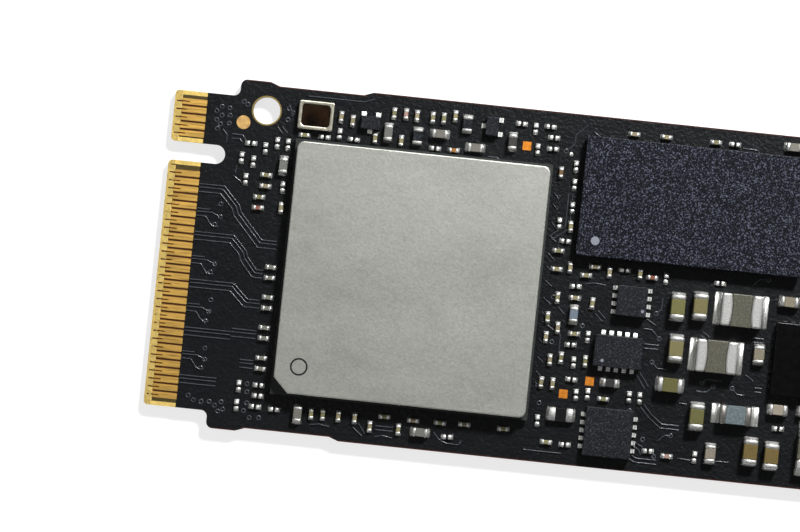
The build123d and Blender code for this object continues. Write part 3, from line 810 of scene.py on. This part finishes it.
# Short ticks beside the memory package: where they start, shortest run, most added to it, fall
TICK_ALONG = 24.3
TICK_RUN = 0.3
TICK_MORE = 0.2
TICK_FALL = 0.35
TICK_ROWS = (5.9, 5.2, 4.1, 3.2, 2.1, 1.3, 0.4, -0.7, -1.6, -3.3, -4.4, -5.3, -6.0)
VIA_SPOTS = (
    (3.0, 9.15), (3.5, 9.1), (2.7, 8.85), (3.05, 8.6), (3.55, 8.65), (2.75, 8.3), (3.0, 8.05),
    (3.55, 8.15), (2.85, 7.75), (4.35, 9.6), (4.6, 9.45), (7.2, 9.45), (7.5, 9.2), (7.2, 8.75),
    (2.75, -9.1), (3.1, -9.35), (3.6, -9.4), (4.1, -9.35), (4.45, -9.55), (4.85, -9.3),
    (4.7, -9.9), (5.0, -9.75), (6.35, -8.0), (6.4, -8.5), (6.45, -9.2), (6.3, -9.7), (6.7, -10.1),
    (7.3, -10.05), (3.55, 3.05), (3.55, -3.0), (3.5, -6.05), (3.6, 2.25), (3.55, -0.75),
    (3.5, -3.75), (3.55, -6.75), (3.3, 1.75), (3.35, -1.25), (3.35, -4.35), (3.35, -7.3),
    (25.0, 2.6), (24.9, -0.6), (25.1, -3.4), (24.5, -6.2), (24.7, -7.3), (26.9, -2.2),
    (30.4, -7.2), (31.4, -8.9), (32.2, -9.9),
)

# Short traces fill the room that is left: cell size, cells kept free round chips, board's reach
CELL = 0.1
CELL_MARGIN = 2
CELL_COLUMNS = range(82, 793)
CELL_ROWS = range(6, 214)
# Tries from one place along the board to another: dense between the chips, sparse past the flash
STRAYS = ((3000, 8.2, 44.0), (90, 44.0, 79.0))
STRAY_WIDTH = 21
STRAY_HEADINGS = 8
STRAY_LEG = 0.35
STRAY_LEG_MORE = 1.1
VIA_AT_START = 0.3
# Seeds of the random draws
TRACE_SEED = 11
CHIP_SEED = 7


def beside(path, distance):
    """A path moved sideways, with its corners mitred."""
    points = [Vector(point) for point in path]
    runs = [(b - a).normalized() for a, b in zip(points, points[1:])]
    moved = []
    for index, point in enumerate(points):
        before, after = runs[max(index - 1, 0)], runs[min(index, len(runs) - 1)]
        middle = (before + after).normalized()
        moved.append(point + Vector((-middle.y, middle.x)) * distance / middle.dot(after))
    return moved


def cell_of(point):
    """Column and row of the cell that a point in millimetres lies in."""
    return int(point[0] / CELL), int((point[1] + BOARD_HIGH.y / MM) / CELL)


def cells_about(points):
    """Cells of the board's top within the margin of some points in millimetres."""
    columns, rows = (
        range(min(cells) - CELL_MARGIN, max(cells) + CELL_MARGIN + 1)
        for cells in zip(*map(cell_of, points))
    )
    return {(column, row) for column in columns for row in rows}


def taken_cells(paths):
    """Cells that chips, pads, the tooling hole and drawn traces take up."""
    hidden = (
        "circuit_board", "controller_die", "controller_thermal_paste", "edge_contacts_bottom",
        "ground_pad_bottom",
    )
    taken = set()
    for name in NODES:
        if name not in hidden:
            for box in islands(name):
                taken |= cells_about([(corner - spot(0, 0)) / MM for corner in box])
    u, v = HOLE_SPOT
    taken |= cells_about([(u - HOLE_ROOM, v - HOLE_ROOM), (u + HOLE_ROOM, v + HOLE_ROOM)])
    for path in paths:
        for start, end in zip(path, path[1:]):
            for point in steps_between(Vector(start), Vector(end)):
                taken |= cells_about([point])
    return taken


def steps_between(start, end):
    """Points from one point to another, half a cell apart."""
    count = int((end - start).length / (CELL / 2)) + 1
    return [start + (end - start) * step / count for step in range(count + 1)]


def stray_traces(tries, start, end, taken):
    """Short bent traces where the board has room for them, and a via at one end of each."""
    paths, vias = [], []
    for _ in range(tries):
        along = start + next_random() * (end - start)
        point = Vector((along, next_random() * STRAY_WIDTH - STRAY_WIDTH / 2))
        turn = int(next_random() * STRAY_HEADINGS)
        path = [point]
        for _ in range(2 + int(next_random() * 2)):
            way = heading(tau * turn / STRAY_HEADINGS).xy
            point = point + way * (STRAY_LEG + STRAY_LEG_MORE * next_random())
            path.append(point)
            turn += 1 if next_random() > 0.5 else -1
        steps = [at for a, b in zip(path, path[1:]) for at in steps_between(a, b)]
        cells = {cell_of(at) for at in steps}
        fits = all(column in CELL_COLUMNS and row in CELL_ROWS for column, row in cells)
        if fits and not cells & taken:
            for at in steps:
                taken |= cells_about([at])
            paths.append(path)
            vias.append(path[-1] if next_random() > VIA_AT_START else path[0])
    return paths, vias


class DRIVE_OT_traces(bpy.types.Operator):
    """Lays the traces and vias that stand up under the solder mask, and one tinned via."""

    bl_idname = "drive.traces"
    bl_label = "Traces and Vias"

    def execute(self, context):
        sizes = context.scene.drive_sizes
        colours = context.scene.drive_colours
        mask = thin_mask(colours)
        seed_set(TRACE_SEED)
        paths = list(SINGLE_TRACES)
        for lane in LANES:
            paths += [beside(lane, distance) for distance in LANE_OFFSETS]
        for trace in PAIRED_TRACES:
            paths += [trace, beside(trace, PAIR_OFFSET)]
        for row in GROUND_TAIL_ROWS:
            paths += [[(u, v + row) for u, v in tail] for tail in GROUND_TAILS]
        for row in TICK_ROWS:
            end = (TICK_ALONG + TICK_RUN + TICK_MORE * next_random(), row - TICK_FALL)
            paths.append([(TICK_ALONG, row), end])
        taken = taken_cells(paths)
        stray_vias = []
        for tries, start, end in STRAYS:
            strays, vias = stray_traces(tries, start, end, taken)
            paths += strays
            stray_vias += vias
        verts, edges = [], []
        for path in paths:
            for index, (u, v) in enumerate(path):
                if index:
                    edges.append((len(verts) - 1, len(verts)))
                verts.append(spot(u, v))
        mesh = bpy.data.meshes.new("traces")
        mesh.from_pydata(verts, edges, [])
        traces = grown(
            "traces_under_mask", mesh, tracing_tree(), Width=sizes.trace_width,
            Height=sizes.trace_height, Corner_radius=TRACE_CORNER * MM, Finish=mask,
        )
        traces.data.shade_smooth()
        attach(traces, "solder_mask")
        via = ring_shape("via", VIA_PROFILE)
        size = Vector((sizes.via_radius, sizes.via_radius, sizes.trace_height))
        places = [(spot(u, v), 0.0, size, PLAIN) for u, v in (*VIA_SPOTS, *stray_vias)]
        attach(placed("vias_under_mask", via, places, mask), "solder_mask")
        solder = tinned(colours, "reflowed_solder", 1.1, (0.44, 0.6), 0.03)
        places = [(spot(*TINNED_DOT), 0.0, Vector(TINNED_DOT_SIZE) * MM, PLAIN)]
        attach(placed("tinned_via", ring_shape("dot", DOT_PROFILE), places, solder), "solder")
        return {"FINISHED"}


class DRIVE_OT_controller(bpy.types.Operator):
    """Finishes the controller's lid."""

    bl_idname = "drive.controller"
    bl_label = "Controller Lid"

    def execute(self, context):
        paint(lid_nickel(context.scene.drive_colours), "controller_lid")
        return {"FINISHED"}


LARGE_PACKAGES = ("memory_package", "flash_1_package", "flash_2_package")
SMALL_PACKAGES = ("regulator_body", "load_switch_body", "surge_guard_body", "transistor_bodies")
# Roundings of the crystal's pieces, and of the inductors' cores and ends
SEAL_BEVEL = 0.08 * MM
COVER_BEVEL = 0.02 * MM
BASE_BEVEL = 0.03 * MM
CORE_BEVEL = 0.05 * MM
CORE_END_BEVEL = 0.12 * MM


class DRIVE_OT_packages(bpy.types.Operator):
    """Rounds and finishes the moulded packages and the crystal."""

    bl_idname = "drive.packages"
    bl_label = "Packages"

    def execute(self, context):
        colours = context.scene.drive_colours
        bevel = context.scene.drive_sizes.package_bevel
        marks = []
        for node in LARGE_PACKAGES:
            low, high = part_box(node)
            u, v = PACKAGE_DOT_SPOT
            marks.append(Vector((low.x + u * MM, low.y + v * MM, high.z)))
        memory = moulded(
            "blue_black_epoxy_mould", colours.memory, "#6b7082", marks, PACKAGE_DOT_RADIUS,
        )
        marks = [spot(u, v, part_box(node)[1].z) for node, u, v in CHIP_DOT_SPOTS]
        mould = moulded("black_epoxy_mould", colours.mould, "#4c4f57", marks, CHIP_DOT_RADIUS)
        for nodes, finish in ((LARGE_PACKAGES, memory), (SMALL_PACKAGES, mould)):
            for node in nodes:
                softened(f"{node}_rounded", node, bevel, 2, finish, "mould")
        smooth = clouded("smooth_epoxy_mould", "#040405", 0, 0.34, 0.4, 0.16)
        softened("power_manager_rounded", "power_manager_body", bevel, 2, smooth, "mould")
        ring = clouded("nickel_seal_ring", "#c9c5b4", 1, 0.46, 0.12)
        softened("crystal_ring", "crystal_seal_ring", SEAL_BEVEL, 2, ring, "crystal_ring")
        cover = grained(
            "bronzed_crystal_cover", linear("#24170c"), 0.4, 1.1, [(0.35, 0.2), (0.65, 1.5)],
            (0.16, 0.3), 0.004,
        )
        softened("crystal_cover", "crystal_lid", COVER_BEVEL, 1, cover, "crystal_lid")
        base = clouded("alumina_ceramic", "#2b2a28", 0, 0.5, 0.3)
        softened("crystal_body", "crystal_base", BASE_BEVEL, 1, base, "crystal_ceramic")
        return {"FINISHED"}


def chip_places(bodies, shades):
    """Places of a family's chips, each a little off its pads as reflow leaves it."""
    ends = [(low + high) / 2 for low, high in islands(kin(bodies, "terminals"))]
    askew = TINY_ASKEW if "tiny" in bodies else CHIP_ASKEW
    places = []
    for index, (low, high) in enumerate(islands(bodies)):
        centre = (low + high) / 2
        near = sorted(ends, key=lambda end: (end - centre).length)[:2]
        span = near[0] - near[1]
        turn = 0.0 if abs(span.x) > abs(span.y) else pi / 2
        shade = shade_of(bodies, shades, centre, index)
        off = Vector((2 * next_random() - 1, 2 * next_random() - 1, 0)) * (CHIP_SLIP * MM)
        turned = turn + (2 * next_random() - 1) * askew
        places.append((spot_under(centre) + off, turned, Vector((1, 1, 1)), shade))
    length, width = spread(high - low, turn)
    body = Vector((length, width, high.z - low.z))
    return places, body, (low.z + high.z) / 2 - BOARD_TOP, span.length / 2


def side_turn(centre, hosts):
    """Turn about Z from the nearest of some bodies to the terminal or lead at its side."""
    low, high = min(hosts, key=lambda box: ((box[0] + box[1]) / 2 - centre).length)
    away, half = centre - (low + high) / 2, (high - low) / 2
    if abs(away.x) - half.x > abs(away.y) - half.y:
        return 0.0 if away.x > 0 else pi
    return copysign(pi / 2, away.y)


def seat_of(centre, size, ends):
    """The terminal end that a solder joint leans on, and how far off the joint stands."""
    gaps = []
    for point, turn in ends:
        run, _ = spread(size, turn)
        gaps.append(((point + heading(turn) * run / 2 - centre).length, point, turn))
    return min(gaps, key=lambda item: item[0])


class DRIVE_OT_chips(bpy.types.Operator):
    """Sets the capacitors, resistors, diodes and inductors with their terminals and solder."""

    bl_idname = "drive.chips"
    bl_label = "Chips and Solder"

    def execute(self, context):
        colours = context.scene.drive_colours
        bevel = context.scene.drive_sizes.chip_bevel
        seed_set(CHIP_SEED)
        finishes = {
            "capacitor_ceramic": chip_ceramic("sintered_ceramic", 0.45),
            "resistor_glaze": chip_ceramic("glass_glaze", 0.3),
            "mould": bpy.data.materials["black_epoxy_mould"],
            "choke_ferrite": pressed_ferrite("choke_ferrite", linear("#5e6a6e")),
        }
        # Terminal tin painted darker and, for the tiny chips, painted lighter, as painted shade and
        # light
        tin = tinned(colours, "matte_tin_plate", 0.84, (0.5, 0.66), 0.02)
        bright = tinned(colours, "bright_tin_plate", 1.3, (0.46, 0.6), 0.02)
        # The choke's ends: tin coloured a darker grey
        darker_tin = clouded("dulled_tin_plate", "#9a9792", 1, 0.48, 0.12)
        ends = []
        for bodies, slot, rounding, shades in CHIP_FAMILIES:
            terminals = kin(bodies, "terminals")
            places, size, lift, reach = chip_places(bodies, shades)
            block = ((0, 0, lift), (size.x + 2 * bevel, size.y, size.z))
            body = rounded_blocks(bodies, [block], bevel)
            attach(placed(f"{bodies}_set", body, places, finishes[slot]), slot, bodies)
            low, high = islands(terminals)[0]
            band, width = sorted((high - low).xy)
            height = high.z - BOARD_TOP
            lap = (RESISTOR_LAP if "resistor" in bodies else CAPACITOR_LAP) * MM
            caps = [
                ((side * (reach - lap / 2), 0, height / 2), (band + lap, width, height))
                for side in (-1, 1)
            ]
            cap = rounded_blocks(terminals, caps, rounding * MM)
            cap.shade_smooth()
            plate = bright if "tiny" in bodies else darker_tin if bodies == "choke_body" else tin
            attach(placed(f"{terminals}_set", cap, places, plate), "terminal_tin", terminals)
            for place, turn, _, _ in places:
                for outward in (turn, turn + pi):
                    ends.append((place + heading(outward) * (reach + band / 2), outward))
        core = pressed_ferrite("inductor_ferrite", colours.ferrite)
        softened("inductor_cores_rounded", "inductor_cores", CORE_BEVEL, 2, core, "ferrite")
        softened("inductor_ends", "inductor_terminals", CORE_END_BEVEL, 2, tin, "terminal_tin")
        cores = islands("inductor_cores")
        for low, high in islands("inductor_terminals"):
            centre = (low + high) / 2
            turn = side_turn(centre, cores)
            run, _ = spread(high - low, turn)
            ends.append((spot_under(centre) + heading(turn) * run / 2, turn))
        small, large = [], []
        for low, high in islands("solder_fillets"):
            size = high - low
            gap, point, turn = seat_of(spot_under((low + high) / 2), size, ends)
            if gap > JOINT_REACH * MM:
                raise RuntimeError("a solder joint has no terminal beside it")
            run, width = spread(size, turn)
            joints = large if run > LARGE_RUN * MM else small
            joints.append((point, turn, Vector((run, width, size.z)), PLAIN))
        solder = bpy.data.materials["reflowed_solder"]
        joints = placed("small_solder_joints", solder_shape(SMALL_JOINT), small, solder)
        attach(joints, "solder", "solder_fillets")
        joints = placed("large_solder_joints", solder_shape(LARGE_JOINT), large, solder)
        attach(joints, "solder")
        return {"FINISHED"}


class DRIVE_OT_leads(bpy.types.Operator):
    """Sets the bent leads of the power chips and transistors."""

    bl_idname = "drive.leads"
    bl_label = "Leads"

    def execute(self, context):
        # The small packages' leads take the tin painted lighter, as a painted highlight
        tin = bpy.data.materials["bright_tin_plate"]
        # The power manager's leads: tin coloured near black
        dark = clouded("oxidised_tin_plate", "#3a3a3c", 1, 0.5, 0.12)
        shape = lead_shape()
        for bodies in ("power_manager_body", *SMALL_PACKAGES):
            leads = kin(bodies, "leads")
            finish = tin if bodies in SMALL_PACKAGES else dark
            hosts = islands(bodies)
            places = []
            for low, high in islands(leads):
                centre = (low + high) / 2
                turn = side_turn(centre, hosts)
                run, width = spread(high - low, turn)
                back = spot_under(centre) - heading(turn) * run / 2
                places.append((back, turn, Vector((run, width, high.z - low.z)), PLAIN))
            attach(placed(f"{leads}_bent", shape, places, finish), "terminal_tin", leads)
        return {"FINISHED"}


def white_paper(colour):
    """Matte white paper that stays white to the eye and in reflections, and keeps a soft shadow."""
    material = bpy.data.materials.new("white_paper")
    material.use_nodes = True
    tree = material.node_tree
    tree.nodes.clear()
    seen = add(tree, "LightPath").outputs
    rays = {0: seen["Is Camera Ray"], 1: seen["Is Glossy Ray"]}
    viewed = add(tree, "Math", rays, operation="MAXIMUM")
    # Past the lamps' reach the paper glows more, so that it stays white out to the horizon
    place = add(tree, "TexCoord").outputs["Object"]
    away = add(tree, "VectorMath", {0: place}, operation="LENGTH")
    level = add(tree, "MapRange", {
        "Value": away, "From Min": 0.08, "From Max": 0.4, "To Min": 0.74, "To Max": 1.0,
    }, interpolation_type="SMOOTHSTEP")
    strength = add(tree, "Math", {0: viewed, 1: level}, operation="MULTIPLY")
    matte = add(tree, "BsdfDiffuse", {"Color": shaded(colour, 0.38)})
    glow = add(tree, "Emission", {"Color": (*colour, 1), "Strength": strength})
    both = add(tree, "AddShader", {0: matte, 1: glow})
    add(tree, "OutputMaterial", {"Surface": both})
    return material


def studio_world():
    """A dim dome, brighter towards the horizon, that is white to the camera."""
    world = bpy.data.worlds.new("studio")
    world.use_nodes = True
    tree = world.node_tree
    tree.nodes.clear()
    seen = add(tree, "LightPath").outputs
    towards = add(tree, "TexCoord").outputs["Generated"]
    height = add(tree, "SeparateXYZ", {"Vector": towards}).outputs["Z"]
    dome = add(tree, "MapRange", {
        "Value": height, "From Min": 0.3, "From Max": 0.85, "To Min": 0.34, "To Max": 0.08,
    }, interpolation_type="SMOOTHSTEP")
    strength = add(tree, "Math", {0: seen["Is Camera Ray"], 1: dome}, operation="MAXIMUM")
    sky = add(tree, "Background", {"Color": PLAIN, "Strength": strength})
    add(tree, "OutputWorld", {"Surface": sky})
    return world


# Lamps: name, direction from the board, distance and size in metres, power in watts
LAMPS = (
    ("key_softbox", (0.45, 1.02, 1.0), 0.175, 0.025, 0.52),
    ("fill_softbox", (-0.7, -0.3, 1.0), 0.6, 0.3, 0.25),
)
LAMP_AIM = (20, 0)

# Floor and camera: metres, millimetres for the lens, degrees for the photo's tilt
FLOOR_HALF = 1.5
FLOOR_GAP = 0.01 * MM
LENS_LENGTH = 200
SENSOR_WIDTH = 36
CLIP_START = 0.005
CAMERA_SPOT = (-24.86 * MM, 0.35 * MM)
CAMERA_TURN = 5.94


class DRIVE_OT_stage(bpy.types.Operator):
    """Sets the floor, the lamps, the world and the camera straight above the card edge."""

    bl_idname = "drive.stage"
    bl_label = "Stage"

    def execute(self, context):
        scene = context.scene
        scene.view_settings.view_transform = "Standard"
        level = BOARD_LOW.z - FLOOR_GAP
        signs = ((-1, -1), (1, -1), (1, 1), (-1, 1))
        corners = [(x * FLOOR_HALF, y * FLOOR_HALF, level) for x, y in signs]
        mesh = bpy.data.meshes.new("floor")
        mesh.from_pydata(corners, [], [(0, 1, 2, 3)])
        mesh.materials.append(white_paper(scene.drive_colours.floor))
        floor = linked("floor", mesh)
        scene.world = studio_world()

        aim = spot(*LAMP_AIM)
        for name, direction, distance, size, power in LAMPS:
            lamp = bpy.data.lights.new(name, "AREA")
            lamp.size = size
            lamp.energy = power
            light = linked(name, lamp)
            light.location = aim + Vector(direction).normalized() * distance
            light.rotation_euler = (aim - light.location).to_track_quat("-Z", "Y").to_euler()

        lens = bpy.data.cameras.new("camera")
        lens.lens = LENS_LENGTH
        lens.sensor_width = SENSOR_WIDTH
        lens.clip_start = CLIP_START
        camera = linked("camera", lens)
        camera.location = (*CAMERA_SPOT, scene.drive_sizes.camera_height)
        camera.rotation_euler = (0, 0, radians(CAMERA_TURN))
        scene.camera = camera
        return {"FINISHED"}


OPERATORS = (
    DRIVE_OT_board, DRIVE_OT_traces, DRIVE_OT_controller, DRIVE_OT_packages, DRIVE_OT_chips,
    DRIVE_OT_leads, DRIVE_OT_stage,
)


class DRIVE_PT_finish(bpy.types.Panel):
    """Lists the steps that finish the drive."""

    bl_idname = "DRIVE_PT_finish"
    bl_label = "Drive Finish"
    bl_space_type = "VIEW_3D"
    bl_region_type = "UI"
    bl_category = "Drive"

    def draw(self, context):
        for group in (context.scene.drive_colours, context.scene.drive_sizes):
            for name in group.__annotations__:
                self.layout.prop(group, name)
        for operator in OPERATORS:
            self.layout.operator(operator.bl_idname)


CLASSES = (DriveColours, DriveSizes, *OPERATORS, DRIVE_PT_finish)


def register():
    for item in CLASSES:
        bpy.utils.register_class(item)
    bpy.types.Scene.drive_colours = bpy.props.PointerProperty(type=DriveColours)
    bpy.types.Scene.drive_sizes = bpy.props.PointerProperty(type=DriveSizes)


def unregister():
    del bpy.types.Scene.drive_sizes
    del bpy.types.Scene.drive_colours
    for item in reversed(CLASSES):
        bpy.utils.unregister_class(item)


def main():
    register()
    bpy.ops.drive.board()
    bpy.ops.drive.traces()
    bpy.ops.drive.controller()
    bpy.ops.drive.packages()
    bpy.ops.drive.chips()
    bpy.ops.drive.leads()
    bpy.ops.drive.stage()


if __name__ == "__main__":
    main()
